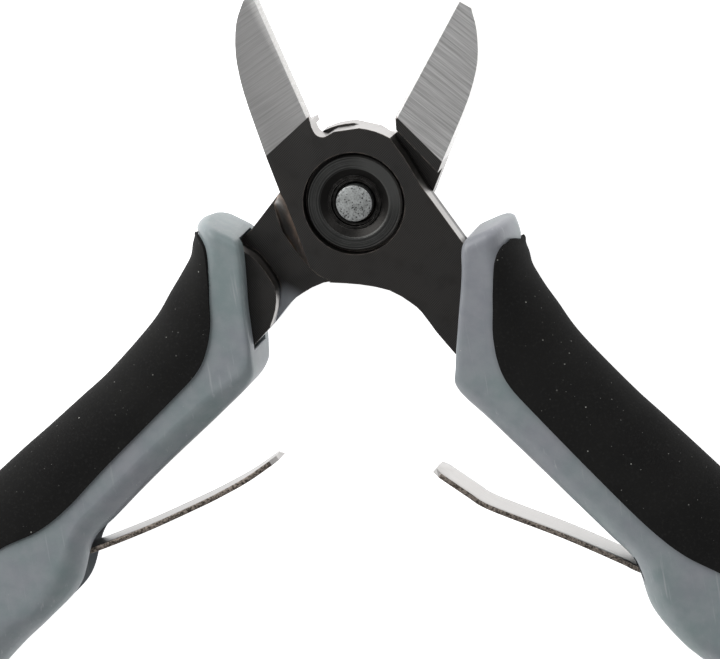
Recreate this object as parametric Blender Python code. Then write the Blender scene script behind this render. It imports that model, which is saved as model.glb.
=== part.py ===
"""Flush cutter for electronics work: two lapped steel halves on a pivot screw,
moulded two-material grips and one leaf spring in each grip.

All lengths below are millimetres and become metres when a mesh is made.
The origin is the centre of the pivot screw's front end. +Z points out of the
flush (front) side of the jaws, +Y to the jaw tips, and the tool lies in XY.
Every piece is drawn as it is with the jaws shut, for the front half, whose
jaw is at -X and whose grip is at +X. The rear half is drawn with X mirrored.
Two empties on the pivot axis then open the halves by JAW_OPEN each.
"""

import math

import bmesh
import bpy
from mathutils import Matrix, Vector

MM = 0.001                 # one millimetre in metres
GAP = 0.2                  # air kept between two pieces that touch
JAW_OPEN = 26.0            # degrees that each half is open

# Head
HEAD_THICK = 8.0
LAP_Z = -HEAD_THICK / 2    # where the two halves lie on each other
JAW_TIP = 33.2             # pivot axis to the tips
EDGE_GAP = 0.05            # cutting edge to the line where the jaws meet, on each jaw
MEETING_SHIFT = -0.8       # that line's distance from the pivot axis, along X
MEETING_LEAN = 1.8         # degrees that the line leans towards +X at the tips
FACET = (0.43, 0.8)        # width and depth of the narrow facet along each cutting edge
STEP_DISTANCE = 11.97      # pivot axis to the straight step below each jaw
STEP_TILT = 19.1           # degrees that this step leans towards the outside
BACK_TAPER_START = 3.0     # the back runs straight below this, and tapers above
TIP_THICK = 2.6

# Pivot
SHANK_R = 2.6
SCREW_HEAD_R = 5.4
SCREW_HEAD_Z = -8.3
SCREW_HEAD_THICK = 1.9
NUT_R = 6.9
NUT_FACE_Z = -0.35
NUT_THICK = 1.8
NUT_DISH_R = 5.15
NUT_STEP_R = 3.9
SINK_R = 7.35              # recess for the nut
RUN_GAP = 0.12             # clearance around what turns
ROUND_STEPS = 48

# Grip
GRIP_HALF_THICK = 7.25
PAD_THICK = 2.0
GRIP_SECTIONS = 34
TANG_PIN = (11.8, -31.0)
TANG_PIN_R = 1.25
TANG_PIN_HALF = 4.6

# Leaf spring and its holder
LEAF_WIDE = 7.0
LEAF_THICK = 0.75
LEAF_HINGE = (16.4, -66.5)
LEAF_PIN_R = 0.7
LEAF_EYE_R = 1.3           # centre line of the eye round the holder pin
HOLDER_X = (14.9, 19.9)
HOLDER_Y = (-71.2, -62.6)
HOLDER_HALF = 5.0
HOLDER_TRAVEL = 4.0

# Plan outlines, x and y, jaws shut, front half
FRONT_JAW_BACK = [(-1.75, 32.8), (-4.1, 30.3), (-6.1, 26.4), (-7.25, 22.2), (-7.85, 18.3)]
REAR_JAW_BACK = [(-2.6, 33.1), (-4.7, 30.6), (-6.75, 26.7), (-7.8, 22.3), (-8.2, 18.5)]
HUB_LEFT = [(-8.6, 11.35), (-9.05, 5.7), (-8.9, 3.8), (-9.9, -5.8), (-8.1, -8.5)]
HEEL = [(-11.4, 4.4), (-12.0, 0.3), (-11.5, -2.8), (-10.8, -5.7), (-9.9, -7.6), (-8.1, -8.9)]
HEEL_TOP = [(-8.95, 4.2), (-9.3, 0.0), (-9.6, -2.9), (-9.9, -5.8), (-9.2, -7.3), (-8.1, -8.6)]
HEEL_DEPTH = 3.2           # how far down the sloping heel of the front half reaches
TANG_INSIDE = [(-4.3, -10.9), (-0.8, -13.4), (1.2, -16.2), (2.1, -18.2), (2.8, -21.7), (3.95, -25.8)]
TANG_BURIED = [(6.6, -34.0), (10.6, -46.0), (12.2, -51.0), (15.6, -50.0), (14.9, -44.0), (13.9, -30.0)]
HUB_RIGHT = [(12.3, -12.7), (11.8, -11.2), (10.4, -3.8), (10.0, -1.7), (9.5, 3.25), (8.8, 6.3)]
LAP_STEP = [(14.5, -13.5), (10.8, -13.7), (8.9, -14.0), (5.9, -15.5), (4.3, -16.9), (3.3, -19.2), (2.9, -21.7)]

# Grip stations: inner edge, outer edge, half thickness
GRIP_STATIONS = [
    ((13.7, -10.9), (16.4, -10.9), 5.0),
    ((12.3, -11.6), (17.8, -12.0), 6.6),
    ((11.4, -13.2), (18.3, -13.6), GRIP_HALF_THICK),
    ((7.0, -20.9), (17.5, -18.2), GRIP_HALF_THICK),
    ((3.6, -26.8), (17.6, -21.6), GRIP_HALF_THICK),
    ((2.2, -30.0), (18.1, -24.8), GRIP_HALF_THICK),
    ((4.0, -36.1), (19.0, -30.4), GRIP_HALF_THICK),
    ((7.2, -45.0), (22.0, -40.0), GRIP_HALF_THICK),
    ((9.4, -51.0), (24.3, -45.8), GRIP_HALF_THICK),
    ((11.6, -57.5), (26.8, -52.2), GRIP_HALF_THICK),
    ((13.2, -62.5), (28.9, -57.5), GRIP_HALF_THICK),
    ((12.7, -69.5), (31.6, -65.0), GRIP_HALF_THICK),
    ((14.4, -75.8), (33.4, -71.5), GRIP_HALF_THICK),
    ((16.4, -81.6), (34.7, -78.5), GRIP_HALF_THICK),
    ((18.6, -90.0), (35.3, -88.0), GRIP_HALF_THICK),
    ((19.6, -99.0), (34.6, -98.0), 7.0),
    ((20.6, -106.0), (32.4, -106.0), 6.5),
    ((22.6, -110.8), (29.6, -111.0), 5.3),
    ((25.0, -112.8), (27.2, -112.8), 3.4),
]
PAD_EDGE = [
    (19.6, -13.6), (16.5, -14.2), (14.2, -17.9), (12.3, -21.2), (10.4, -24.8), (9.3, -28.5),
    (9.2, -32.0), (10.6, -37.0), (15.0, -50.5), (17.9, -58.8), (20.5, -64.0), (24.2, -68.8),
    (28.4, -75.5), (30.2, -81.0), (31.6, -82.6), (32.8, -80.5), (33.1, -72.0), (32.2, -64.0), (29.2, -57.4),
]
LEAF_PATH = [
    (14.9, -65.2), (13.7, -64.0), (12.4, -62.6), (6.3, -56.5), (0.1, -50.4), (-2.1, -48.1), (-3.5, -45.9),
    (-6.3, -40.0),
]

MATERIALS = {
    "black_steel": ((0.022, 0.021, 0.020), 0.42, 1.0),
    "turned_steel": ((0.045, 0.044, 0.042), 0.35, 1.0),
    "ground_steel": ((0.48, 0.47, 0.45), 0.32, 1.0),
    "spring_steel": ((0.60, 0.59, 0.57), 0.30, 1.0),
    "grip_shell": ((0.26, 0.30, 0.32), 0.45, 0.0),
    "grip_pad": ((0.018, 0.018, 0.019), 0.75, 0.0),
    "holder": ((0.10, 0.11, 0.12), 0.5, 0.0),
}


def clear_scene():
    for thing in list(bpy.data.objects):
        bpy.data.objects.remove(thing, do_unlink=True)


def make_material(name):
    colour, roughness, metallic = MATERIALS[name]
    material = bpy.data.materials.new(name)
    material.use_nodes = True
    shader = material.node_tree.nodes["Principled BSDF"]
    shader.inputs["Base Color"].default_value = (*colour, 1.0)
    shader.inputs["Roughness"].default_value = roughness
    shader.inputs["Metallic"].default_value = metallic
    material.diffuse_color = (*colour, 1.0)
    return material


def make_object(name, bm, parent, material=None, origin=(0.0, 0.0)):
    """Turns a bmesh in millimetres into an object, with its origin moved to a plan point."""
    start = Vector((origin[0], origin[1], 0.0))
    bmesh.ops.translate(bm, verts=bm.verts, vec=-start)
    bmesh.ops.scale(bm, verts=bm.verts, vec=(MM, MM, MM))
    bmesh.ops.recalc_face_normals(bm, faces=bm.faces)
    mesh = bpy.data.meshes.new(name)
    bm.to_mesh(mesh)
    bm.free()
    thing = bpy.data.objects.new(name, mesh)
    bpy.context.scene.collection.objects.link(thing)
    thing.parent = parent
    thing.location = start * MM
    if material is None:
        thing.hide_render = True
        thing.display_type = "WIRE"
    else:
        mesh.materials.append(material)
        mesh.shade_smooth()
        mesh.set_sharp_from_angle(angle=math.radians(30))
    return thing


def boolean(thing, other, operation="DIFFERENCE"):
    modifier = thing.modifiers.new(other.name, "BOOLEAN")
    modifier.operation = operation
    modifier.solver = "EXACT"
    modifier.object = other


def sided(points, side):
    return [(x * side, y) for x, y in points]


def through(points, per_span):
    """A smooth curve through the given points, which both ends keep."""
    rows = [Vector(p) for p in points]
    rows = [2 * rows[0] - rows[1]] + rows + [2 * rows[-1] - rows[-2]]
    curve = []
    for a, b, c, d in zip(rows, rows[1:], rows[2:], rows[3:]):
        for step in range(per_span):
            t = step / per_span
            curve.append(0.5 * (2 * b + (c - a) * t + (2 * a - 5 * b + 4 * c - d) * t**2
                                + (3 * b - a - 3 * c + d) * t**3))
    curve.append(rows[-2])
    return curve


def arc(centre, radius, start, end, steps):
    """Points on a round arc, with both angles in degrees."""
    points = []
    for step in range(steps + 1):
        angle = math.radians(start + (end - start) * step / steps)
        points.append((centre[0] + radius * math.cos(angle), centre[1] + radius * math.sin(angle)))
    return points


def shifted(points, distance):
    """The same open line, moved sideways to its left."""
    moved = []
    for index, point in enumerate(points):
        before = Vector(points[max(index - 1, 0)])
        after = Vector(points[min(index + 1, len(points) - 1)])
        along = (after - before).normalized()
        moved.append((point[0] - along.y * distance, point[1] + along.x * distance))
    return moved


def prism(points, low, high):
    """A plan outline as a solid from z = low to z = high."""
    bm = bmesh.new()
    face = bm.faces.new([bm.verts.new((x, y, low)) for x, y in points])
    raised = bmesh.ops.extrude_face_region(bm, geom=[face])
    tops = [item for item in raised["geom"] if isinstance(item, bmesh.types.BMVert)]
    bmesh.ops.translate(bm, verts=tops, vec=(0.0, 0.0, high - low))
    bmesh.ops.triangulate(bm, faces=[f for f in bm.faces if len(f.verts) > 4])
    return bm


def ring_solid(rings):
    """A closed solid through rings that all have the same number of points."""
    bm = bmesh.new()
    loops = [[bm.verts.new(point) for point in ring] for ring in rings]
    for loop, following in zip(loops, loops[1:]):
        for index, vert in enumerate(loop):
            after = (index + 1) % len(loop)
            bm.faces.new((vert, loop[after], following[after], following[index]))
    bm.faces.new(loops[0][::-1])
    bm.faces.new(loops[-1])
    bmesh.ops.triangulate(bm, faces=[f for f in bm.faces if len(f.verts) > 4])
    return bm


def box(x_range, y_range, z_range):
    corners = [(x_range[0], y_range[0]), (x_range[1], y_range[0]),
               (x_range[1], y_range[1]), (x_range[0], y_range[1])]
    return prism(corners, *z_range)


def turned(profile):
    """A profile of radius and height, spun once round the pivot axis."""
    bm = bmesh.new()
    verts = [bm.verts.new((radius, 0.0, z)) for radius, z in profile]
    edges = [bm.edges.new((a, b)) for a, b in zip(verts, verts[1:] + verts[:1])]
    bmesh.ops.spin(bm, geom=verts + edges, axis=(0, 0, 1), cent=(0, 0, 0),
                   angle=math.tau, steps=ROUND_STEPS, use_merge=True)
    bmesh.ops.remove_doubles(bm, verts=bm.verts, dist=1e-5)
    loose = [edge for edge in bm.edges if not edge.link_faces]
    bmesh.ops.delete(bm, geom=loose, context="EDGES")
    return bm


def rod(centre, radius, low, high, steps):
    return prism(arc(centre, radius, 0, 360 - 360 / steps, steps - 1), low, high)


def meeting_line(side):
    """Distance from the pivot axis and lean in degrees of one half's cutting edge, as it is drawn."""
    return MEETING_SHIFT * side - EDGE_GAP, MEETING_LEAN * side


def arm_outline(side):
    """The whole forged half in plan: jaw, hub and tang."""
    shift, lean = meeting_line(side)
    slope = math.tan(math.radians(lean))
    cutting_edge = [(-0.75, 12.4)] + [(shift + slope * y, y) for y in (14.2, JAW_TIP)]
    jaw_back = through(FRONT_JAW_BACK if side > 0 else REAR_JAW_BACK, 3)
    if side > 0:
        hub_left = HUB_LEFT[:2] + through([HUB_LEFT[1]] + HEEL[:-1], 2)[1:] + through([HEEL[-1]] + TANG_INSIDE, 2)
    else:
        hub_left = HUB_LEFT[:4] + through([HUB_LEFT[4]] + TANG_INSIDE, 2)
    hub_right = through(HUB_RIGHT, 2)
    hub_top = arc((0, 0), 10.93, 35.6, 60.0, 4)
    throat = [(1.9, 10.5)] + arc((0.6, 11.7), 1.35, -75, -180, 6)
    parts = [cutting_edge, jaw_back, hub_left, TANG_BURIED, hub_right[:-1], hub_top, throat]
    return [tuple(point) for part in parts for point in part]


def lap_outline():
    """Everything between the step below the jaw and the step on the tang."""
    tilt = math.radians(STEP_TILT)
    normal = Vector((-math.sin(tilt), math.cos(tilt)))
    along = Vector((normal.y, -normal.x))
    foot = normal * STEP_DISTANCE
    line = [tuple(foot - along * 13), tuple(foot + along * 9)]
    curve = [tuple(point) for point in through(LAP_STEP, 2)]
    return line + [(17, 15), (17, -13.4)] + curve + [(1.0, -23.0), (-15, -23)]


def make_arm(name, side, parent, materials):
    """One forged half. The front one has side = 1, the rear one side = -1."""
    arm = make_object(name, prism(sided(arm_outline(side), side), -HEAD_THICK, 0.0), parent,
                      materials["black_steel"])
    other_half = (-HEAD_THICK - 1, LAP_Z + GAP / 2) if side > 0 else (LAP_Z - GAP / 2, 1.0)
    lap = make_object(name + "_lap", prism(sided(lap_outline(), side), *other_half), parent)
    boolean(arm, lap)
    boolean(arm, make_object(name + "_bore", rod((0, 0), SHANK_R + RUN_GAP, -12, 4, ROUND_STEPS), parent))
    boolean(arm, back_taper(name, parent))
    boolean(arm, back_bevel(name, side, parent))
    boolean(arm, front_facet(name, side, parent))
    if side > 0:
        boolean(arm, heel_slope(name, parent))
    pin_hole = rod((TANG_PIN[0] * side, TANG_PIN[1]), TANG_PIN_R + RUN_GAP, -12, 4, 20)
    boolean(arm, make_object(name + "_pin_hole", pin_hole, parent))
    return arm


def back_taper(name, parent):
    """Thins the back of the head towards the tips."""
    side_view = [(BACK_TAPER_START, -HEAD_THICK), (JAW_TIP, -TIP_THICK), (JAW_TIP + 3, -TIP_THICK),
                 (JAW_TIP + 3, -HEAD_THICK - 2), (BACK_TAPER_START, -HEAD_THICK - 2)]
    bm = prism(side_view, -14.0, 14.0)
    bmesh.ops.transform(bm, verts=bm.verts, matrix=Matrix(((0, 0, 1), (1, 0, 0), (0, 1, 0))).to_4x4())
    return make_object(name + "_back_taper", bm, parent)


def along_edge(section, low_y, high_y, side):
    """A cutter with the given section, along the cutting edge. The section's x = 0 is the edge."""
    shift, lean = meeting_line(side)
    bm = prism(section, -high_y, -low_y)
    bmesh.ops.rotate(bm, verts=bm.verts, matrix=Matrix.Rotation(math.radians(90), 3, "X"))
    bmesh.ops.rotate(bm, verts=bm.verts, matrix=Matrix.Rotation(math.radians(-lean), 3, "Z"))
    bmesh.ops.translate(bm, verts=bm.verts, vec=(shift, 0.0, 0.0))
    bmesh.ops.scale(bm, verts=bm.verts, vec=(side, 1.0, 1.0))
    return bm


def back_bevel(name, side, parent):
    """The long bevel behind the cutting edge."""
    section = [(2.0, -1.3), (0.0, -1.3), (-5.5, -6.0), (-5.5, -11.0), (2.0, -11.0)]
    return make_object(name + "_back_bevel", along_edge(section, 13.2, 40.0, side), parent)


def front_facet(name, side, parent):
    """The narrow facet between the flush face and the cutting edge."""
    wide, deep = FACET
    section = [(-wide, 0.0), (0.0, -deep), (2.0, -deep), (2.0, 1.0), (-wide, 1.0)]
    return make_object(name + "_facet", along_edge(section, 13.9, 40.0, side), parent)


def heel_slope(name, parent):
    """Everything above the slope on the front half's heel."""
    top = [HUB_LEFT[1]] + HEEL_TOP
    foot = [(-9.05, 6.1)] + HEEL
    rings = []
    for (top_x, top_y), (foot_x, foot_y) in zip(top, foot):
        outward = Vector((foot_x, foot_y)).normalized() * 4
        far_x, far_y = foot_x + outward.x, foot_y + outward.y
        ring = [(top_x, top_y, 0.0), (top_x, top_y, 1.0), (far_x, far_y, 1.0), (far_x, far_y, -HEEL_DEPTH),
                (foot_x, foot_y, -HEEL_DEPTH)]
        rings.append(ring)
    return make_object(name + "_heel_slope", ring_solid(rings), parent)


def add_pivot(front, rear, parent, rear_parent, materials):
    sink_floor = NUT_FACE_Z - NUT_THICK - RUN_GAP
    boolean(front, make_object("nut_recess", rod((0, 0), SINK_R, sink_floor, 4, ROUND_STEPS), parent))
    head_seat = SCREW_HEAD_Z + SCREW_HEAD_THICK + RUN_GAP
    head_room = rod((0, 0), SCREW_HEAD_R + 0.25, -12, head_seat, ROUND_STEPS)
    boolean(rear, make_object("head_recess", head_room, rear_parent))
    head_top = SCREW_HEAD_Z + SCREW_HEAD_THICK
    screw = [(0, SCREW_HEAD_Z), (SCREW_HEAD_R - 0.4, SCREW_HEAD_Z), (SCREW_HEAD_R, SCREW_HEAD_Z + 0.4),
             (SCREW_HEAD_R, head_top), (SHANK_R, head_top), (SHANK_R, 0), (0, 0)]
    screw = make_object("pivot_screw", turned(screw), parent, materials["ground_steel"])
    slot = box((-7, 7), (-0.6, 0.6), (SCREW_HEAD_Z - 1, SCREW_HEAD_Z + 0.9))
    boolean(screw, make_object("screw_slot", slot, parent))
    nut_back = NUT_FACE_Z - NUT_THICK
    bore = SHANK_R + RUN_GAP
    nut = [(bore, nut_back), (NUT_R, nut_back), (NUT_R, NUT_FACE_Z - 0.2), (NUT_R - 0.2, NUT_FACE_Z),
           (NUT_DISH_R, NUT_FACE_Z), (NUT_STEP_R, NUT_FACE_Z - 0.5), (NUT_STEP_R - 0.35, NUT_FACE_Z - 0.8),
           (bore, NUT_FACE_Z - 0.8)]
    make_object("pivot_nut", turned(nut), parent, materials["turned_steel"])


def grip_rows(inset):
    """Sections of the grip's outer form, moved inwards by inset on every side."""
    rows = [(*inner, *outer, half) for inner, outer, half in GRIP_STATIONS]
    curves = []
    for first in (0, 2):
        curves.append(through([(row[first], row[first + 1], row[4]) for row in rows], 6))
    count = len(curves[0]) - 1
    sections = []
    for number in range(GRIP_SECTIONS + 1):
        place = number * count / GRIP_SECTIONS
        low = min(int(place), count - 1)
        inner = curves[0][low].lerp(curves[0][low + 1], place - low)
        outer = curves[1][low].lerp(curves[1][low + 1], place - low)
        sections.append((inner, outer))
    return [grip_section(inner, outer, inset) for inner, outer in sections]


def grip_section(inner, outer, inset):
    """One closed section: flat front and back, a small inner round, a large outer round."""
    half = min(inner.z, GRIP_HALF_THICK) - inset
    start = Vector((inner.x, inner.y))
    across = Vector((outer.x, outer.y)) - start
    side_inset = inset * min(1.0, across.length / 6.5)
    wide = across.length - 2 * side_inset
    across.normalize()
    start += across * side_inset
    small = min(2.4, wide * 0.3, half * 0.5)
    large = wide * 0.45
    points = []
    for angle in (180, 207, 234, 270):
        points.append((small + small * math.cos(math.radians(angle)),
                       -half + small + small * math.sin(math.radians(angle))))
    for angle in range(-90, 91, 30):
        points.append((wide - large + large * math.cos(math.radians(angle)), half * math.sin(math.radians(angle))))
    for angle in (90, 126, 153, 180):
        points.append((small + small * math.cos(math.radians(angle)),
                       half - small + small * math.sin(math.radians(angle))))
    return [Vector((*(start + across * u), LAP_Z + v)) for u, v in points]


def grip_form(inset, side):
    """The grip's outer form as one closed loft."""
    return ring_solid([[(point.x * side, point.y, point.z) for point in row] for row in grip_rows(inset)])


def pad_prism(widen, side):
    """The plan area that the soft pad covers, past the grip's outer edge."""
    edge = [tuple(point) for point in through(PAD_EDGE, 2)]
    grown = shifted(edge, -widen)
    around = [(44, -52), (44, -5), (22, -5)]
    return prism(sided(grown + around, side), LAP_Z - 12, LAP_Z + 12)


def tang_room(side):
    """The pocket in the shell for the tang, open at the mouth."""
    wide = GAP + 0.05
    outer = [(-3.0, -7.5), (11.9 + wide, -9.0), (12.3 + wide, -12.7), (13.9 + wide, -30.0),
             (14.9 + wide, -44.0), (15.8 + wide, -50.4)]
    inner = [(12.0, -51.5), (10.6 - wide, -46.2), (6.2, -34.4), (3.1, -28.5), (-3.0, -27.0)]
    return prism(sided(outer + inner, side), -HEAD_THICK - wide, wide)


def make_grip(name, side, parent, materials):
    shell = make_object(name + "_grip_shell", grip_form(0.0, side), parent, materials["grip_shell"])
    pad = make_object(name + "_grip_pad", grip_form(0.0, side), parent, materials["grip_pad"])
    pad_area = make_object(name + "_pad_area", pad_prism(0.0, side), parent)
    pad_core = make_object(name + "_pad_core", grip_form(PAD_THICK, side), parent)
    boolean(pad, pad_area, "INTERSECT")
    boolean(pad, pad_core)
    shell_core = make_object(name + "_shell_core", grip_form(PAD_THICK + GAP, side), parent)
    pad_room = make_object(name + "_pad_room", pad_prism(GAP, side), parent)
    boolean(pad_room, shell_core)
    boolean(shell, pad_room)
    boolean(shell, make_object(name + "_tang_room", tang_room(side), parent))
    pin_centre = (TANG_PIN[0] * side, TANG_PIN[1])
    pin_hole = rod(pin_centre, TANG_PIN_R + RUN_GAP, LAP_Z - 6, LAP_Z + 6, 20)
    boolean(shell, make_object(name + "_pin_hole", pin_hole, parent))
    pin = rod(pin_centre, TANG_PIN_R, LAP_Z - TANG_PIN_HALF, LAP_Z + TANG_PIN_HALF, 20)
    make_object(name + "_tang_pin", pin, parent, materials["ground_steel"])
    add_spring(name, side, parent, shell, materials)


def mirrored_range(low, high, side):
    return (low, high) if side > 0 else (-high, -low)


def add_spring(name, side, parent, shell, materials):
    """The holder in its channel, the leaf that sticks out of the grip and the pin between them."""
    chamber_x = mirrored_range(HOLDER_X[0] - GAP, HOLDER_X[1] + GAP, side)
    chamber_y = (HOLDER_Y[0] - HOLDER_TRAVEL - GAP, HOLDER_Y[1] + GAP)
    chamber_z = (LAP_Z - HOLDER_HALF - GAP, LAP_Z + HOLDER_HALF + GAP)
    chamber = box(chamber_x, chamber_y, chamber_z)
    boolean(shell, make_object(name + "_chamber", chamber, parent))
    leaf_half = LEAF_WIDE / 2
    mouth_z = (LAP_Z - leaf_half - 0.4, LAP_Z + leaf_half + 0.4)
    mouth = box(mirrored_range(8.0, HOLDER_X[1] - 1, side), (-70.6, -60.2), mouth_z)
    boolean(shell, make_object(name + "_mouth", mouth, parent))
    ramp = prism(sided([(7.5, -61.0), (7.5, -57.2), (11.3, -57.2), (14.0, -60.4)], side), *mouth_z)
    boolean(shell, make_object(name + "_mouth_ramp", ramp, parent))

    holder_z = (LAP_Z - HOLDER_HALF, LAP_Z + HOLDER_HALF)
    holder = make_object(name + "_spring_holder", box(mirrored_range(*HOLDER_X, side), HOLDER_Y, holder_z),
                         parent, materials["holder"])
    fork_z = (LAP_Z - leaf_half - 0.3, LAP_Z + leaf_half + 0.3)
    fork = box(mirrored_range(10.0, 18.5, side), (-69.0, -55.0), fork_z)
    boolean(holder, make_object(name + "_fork", fork, parent))
    hinge = (LEAF_HINGE[0] * side, LEAF_HINGE[1])
    hole = rod(hinge, LEAF_PIN_R + 0.1, LAP_Z - 8, LAP_Z + 8, 20)
    boolean(holder, make_object(name + "_leaf_pin_hole", hole, parent))
    pin = rod(hinge, LEAF_PIN_R, LAP_Z - HOLDER_HALF + 0.1, LAP_Z + HOLDER_HALF - 0.1, 20)
    make_object(name + "_leaf_pin", pin, parent, materials["ground_steel"])
    make_object(name + "_leaf_spring", leaf_strip(side), parent, materials["spring_steel"], origin=hinge)


def leaf_strip(side):
    """The leaf: an eye round the pin, then the strip to the tip, as one bent band."""
    eye = arc(LEAF_HINGE, LEAF_EYE_R, -20, -230, 14)
    path = eye + [tuple(point) for point in through(LEAF_PATH, 3)]
    low, high = LAP_Z - LEAF_WIDE / 2, LAP_Z + LEAF_WIDE / 2
    rings = []
    for (x, y), (other_x, other_y) in zip(shifted(path, LEAF_THICK / 2), shifted(path, -LEAF_THICK / 2)):
        x, other_x = x * side, other_x * side
        rings.append([(x, y, low), (x, y, high), (other_x, other_y, high), (other_x, other_y, low)])
    return ring_solid(rings)


def half_frame(name, degrees):
    frame = bpy.data.objects.new(name, None)
    bpy.context.scene.collection.objects.link(frame)
    frame.rotation_euler = (0.0, 0.0, math.radians(degrees))
    return frame


def main():
    clear_scene()
    materials = {name: make_material(name) for name in MATERIALS}
    front_frame = half_frame("front_frame", JAW_OPEN)
    rear_frame = half_frame("rear_frame", -JAW_OPEN)
    front = make_arm("front_half", 1, front_frame, materials)
    rear = make_arm("rear_half", -1, rear_frame, materials)
    add_pivot(front, rear, front_frame, rear_frame, materials)
    make_grip("right", 1, front_frame, materials)
    make_grip("left", -1, rear_frame, materials)


main()
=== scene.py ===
# %% [markdown]
# # A flush cutter for electronics work
# The tool has two lapped steel halves on one pivot, a hard grey grip with a soft black pad on each
# half, and one leaf spring in each grip. The sizes and the joints are fixed by the CAD frame that is
# loaded first. This script makes the fine surface: rounded edges, moulded grips and worn steel.

# %% Load the frame
import math

import bmesh
import bpy
from mathutils import Matrix, Vector


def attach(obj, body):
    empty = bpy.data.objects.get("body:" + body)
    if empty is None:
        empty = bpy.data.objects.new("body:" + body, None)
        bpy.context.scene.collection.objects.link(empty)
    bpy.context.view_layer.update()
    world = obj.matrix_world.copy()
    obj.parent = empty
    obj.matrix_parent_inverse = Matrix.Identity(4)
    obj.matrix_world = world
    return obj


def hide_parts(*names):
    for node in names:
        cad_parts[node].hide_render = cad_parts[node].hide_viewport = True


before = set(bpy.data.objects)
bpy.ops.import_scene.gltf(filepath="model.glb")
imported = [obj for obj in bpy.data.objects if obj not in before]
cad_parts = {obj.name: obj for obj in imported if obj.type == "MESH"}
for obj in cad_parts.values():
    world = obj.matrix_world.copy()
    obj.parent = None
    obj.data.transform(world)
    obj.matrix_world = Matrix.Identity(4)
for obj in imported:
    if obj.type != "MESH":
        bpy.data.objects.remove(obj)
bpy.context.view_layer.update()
print("nodes:", sorted(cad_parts))

# %% [markdown]
# ## Shared sizes and small helpers
# Each half is drawn as it is with the jaws shut, in millimetres. It is then turned open about the
# pivot and scaled to metres. One drawing serves both sides: the left grip starts as a mirror image,
# and a small table of leans for each side then makes the two a little different.

# %% Sizes
MM = 0.001
OPEN_ANGLE = math.radians(26.0)     # how far each half is open
HEAD_THICK = 8.0
MID_Z = -4.0                        # where the two halves lie on each other
GRIP_HALF = 7.25
SHANK_R = 2.6
NUT_R = 6.9
NUT_FACE = -0.35
LEAF_WIDE = 7.0
LEAF_THICK = 0.75
SIDES = {"right": 1, "left": -1}
ARM_OF = {"right": "front_arm", "left": "rear_arm"}


# %% Helpers for meshes
def turn_open(side):
    """From the shut drawing in millimetres to the open tool in metres."""
    mirror = Matrix.Diagonal((side, 1.0, 1.0, 1.0))
    return Matrix.Scale(MM, 4) @ Matrix.Rotation(side * OPEN_ANGLE, 4, "Z") @ mirror


def finish_mesh(name, bm, matrix, material, smooth_angle=35.0):
    """Puts a bmesh in its place and makes it an object with smooth shading."""
    bmesh.ops.transform(bm, matrix=matrix, verts=bm.verts)
    bmesh.ops.recalc_face_normals(bm, faces=bm.faces)
    mesh = bpy.data.meshes.new(name)
    bm.to_mesh(mesh)
    bm.free()
    mesh.shade_smooth()
    mesh.set_sharp_from_angle(angle=math.radians(smooth_angle))
    mesh.materials.append(material)
    thing = bpy.data.objects.new(name, mesh)
    bpy.context.scene.collection.objects.link(thing)
    return thing


def through(points, per_span):
    """A smooth curve through a list of points, which both ends keep."""
    rows = [Vector(point) for point in points]
    rows = [2 * rows[0] - rows[1]] + rows + [2 * rows[-1] - rows[-2]]
    curve = []
    for a, b, c, d in zip(rows, rows[1:], rows[2:], rows[3:]):
        for step in range(per_span):
            t = step / per_span
            curve.append(0.5 * (2 * b + (c - a) * t + (2 * a - 5 * b + 4 * c - d) * t**2
                                + (3 * b - a - 3 * c + d) * t**3))
    curve.append(rows[-2])
    return curve


def prism(outline, low, high):
    """A plan outline raised into a solid."""
    bm = bmesh.new()
    base = bm.faces.new([bm.verts.new((x, y, low)) for x, y in outline])
    raised = bmesh.ops.extrude_face_region(bm, geom=[base])["geom"]
    top = [item for item in raised if isinstance(item, bmesh.types.BMVert)]
    bmesh.ops.translate(bm, verts=top, vec=(0, 0, high - low))
    return bm


def loft(rings):
    """One ring of edges extruded through all the rings. Each vertex keeps its number round the ring."""
    bm = bmesh.new()
    number = bm.verts.layers.int.new("number")
    first = [bm.verts.new(point) for point in rings[0]]
    for index, vert in enumerate(first):
        vert[number] = index
    edges = [bm.edges.new(pair) for pair in zip(first, first[1:] + first[:1])]
    ends = [edges]
    for ring in rings[1:]:
        made = bmesh.ops.extrude_edge_only(bm, edges=edges)["geom"]
        fresh = {item for item in made if isinstance(item, bmesh.types.BMVert)}
        for vert in fresh:
            vert.co = ring[vert[number]]
        edges = [item for item in made
                 if isinstance(item, bmesh.types.BMEdge) and set(item.verts) <= fresh]
    ends.append(edges)
    for loop in ends:
        bmesh.ops.edgeloop_fill(bm, edges=loop)
    return bm, number


def sharp_edges(bm, degrees):
    limit = math.radians(degrees)
    return [edge for edge in bm.edges if len(edge.link_faces) == 2 and edge.calc_face_angle() > limit]


def soften(bm, edges, width, segments=2):
    """Rounds the given edges a little."""
    bmesh.ops.bevel(bm, geom=edges, offset=width, offset_type="OFFSET", affect="EDGES", segments=segments,
                    profile=0.5, material=-1, clamp_overlap=True)


# %% [markdown]
# ## Node groups for the surface effects
# Real parts are never one flat colour. Five small effects are shared by the materials: fine straight
# lines left by grinding, regular milled lines, worn edges, pale specks of dust, and a slow mottling.
# Each is a node group with named inputs, so that every material can place it with its own scale and
# strength.

# %% Node group helpers
def new_group(name, inputs, outputs):
    group = bpy.data.node_groups.new(name, "ShaderNodeTree")
    for label, kind, value in inputs:
        socket = group.interface.new_socket(label, in_out="INPUT", socket_type=kind)
        if value is not None:
            socket.default_value = value
    for label, kind in outputs:
        group.interface.new_socket(label, in_out="OUTPUT", socket_type=kind)
    return group, group.nodes.new("NodeGroupInput"), group.nodes.new("NodeGroupOutput")


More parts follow.
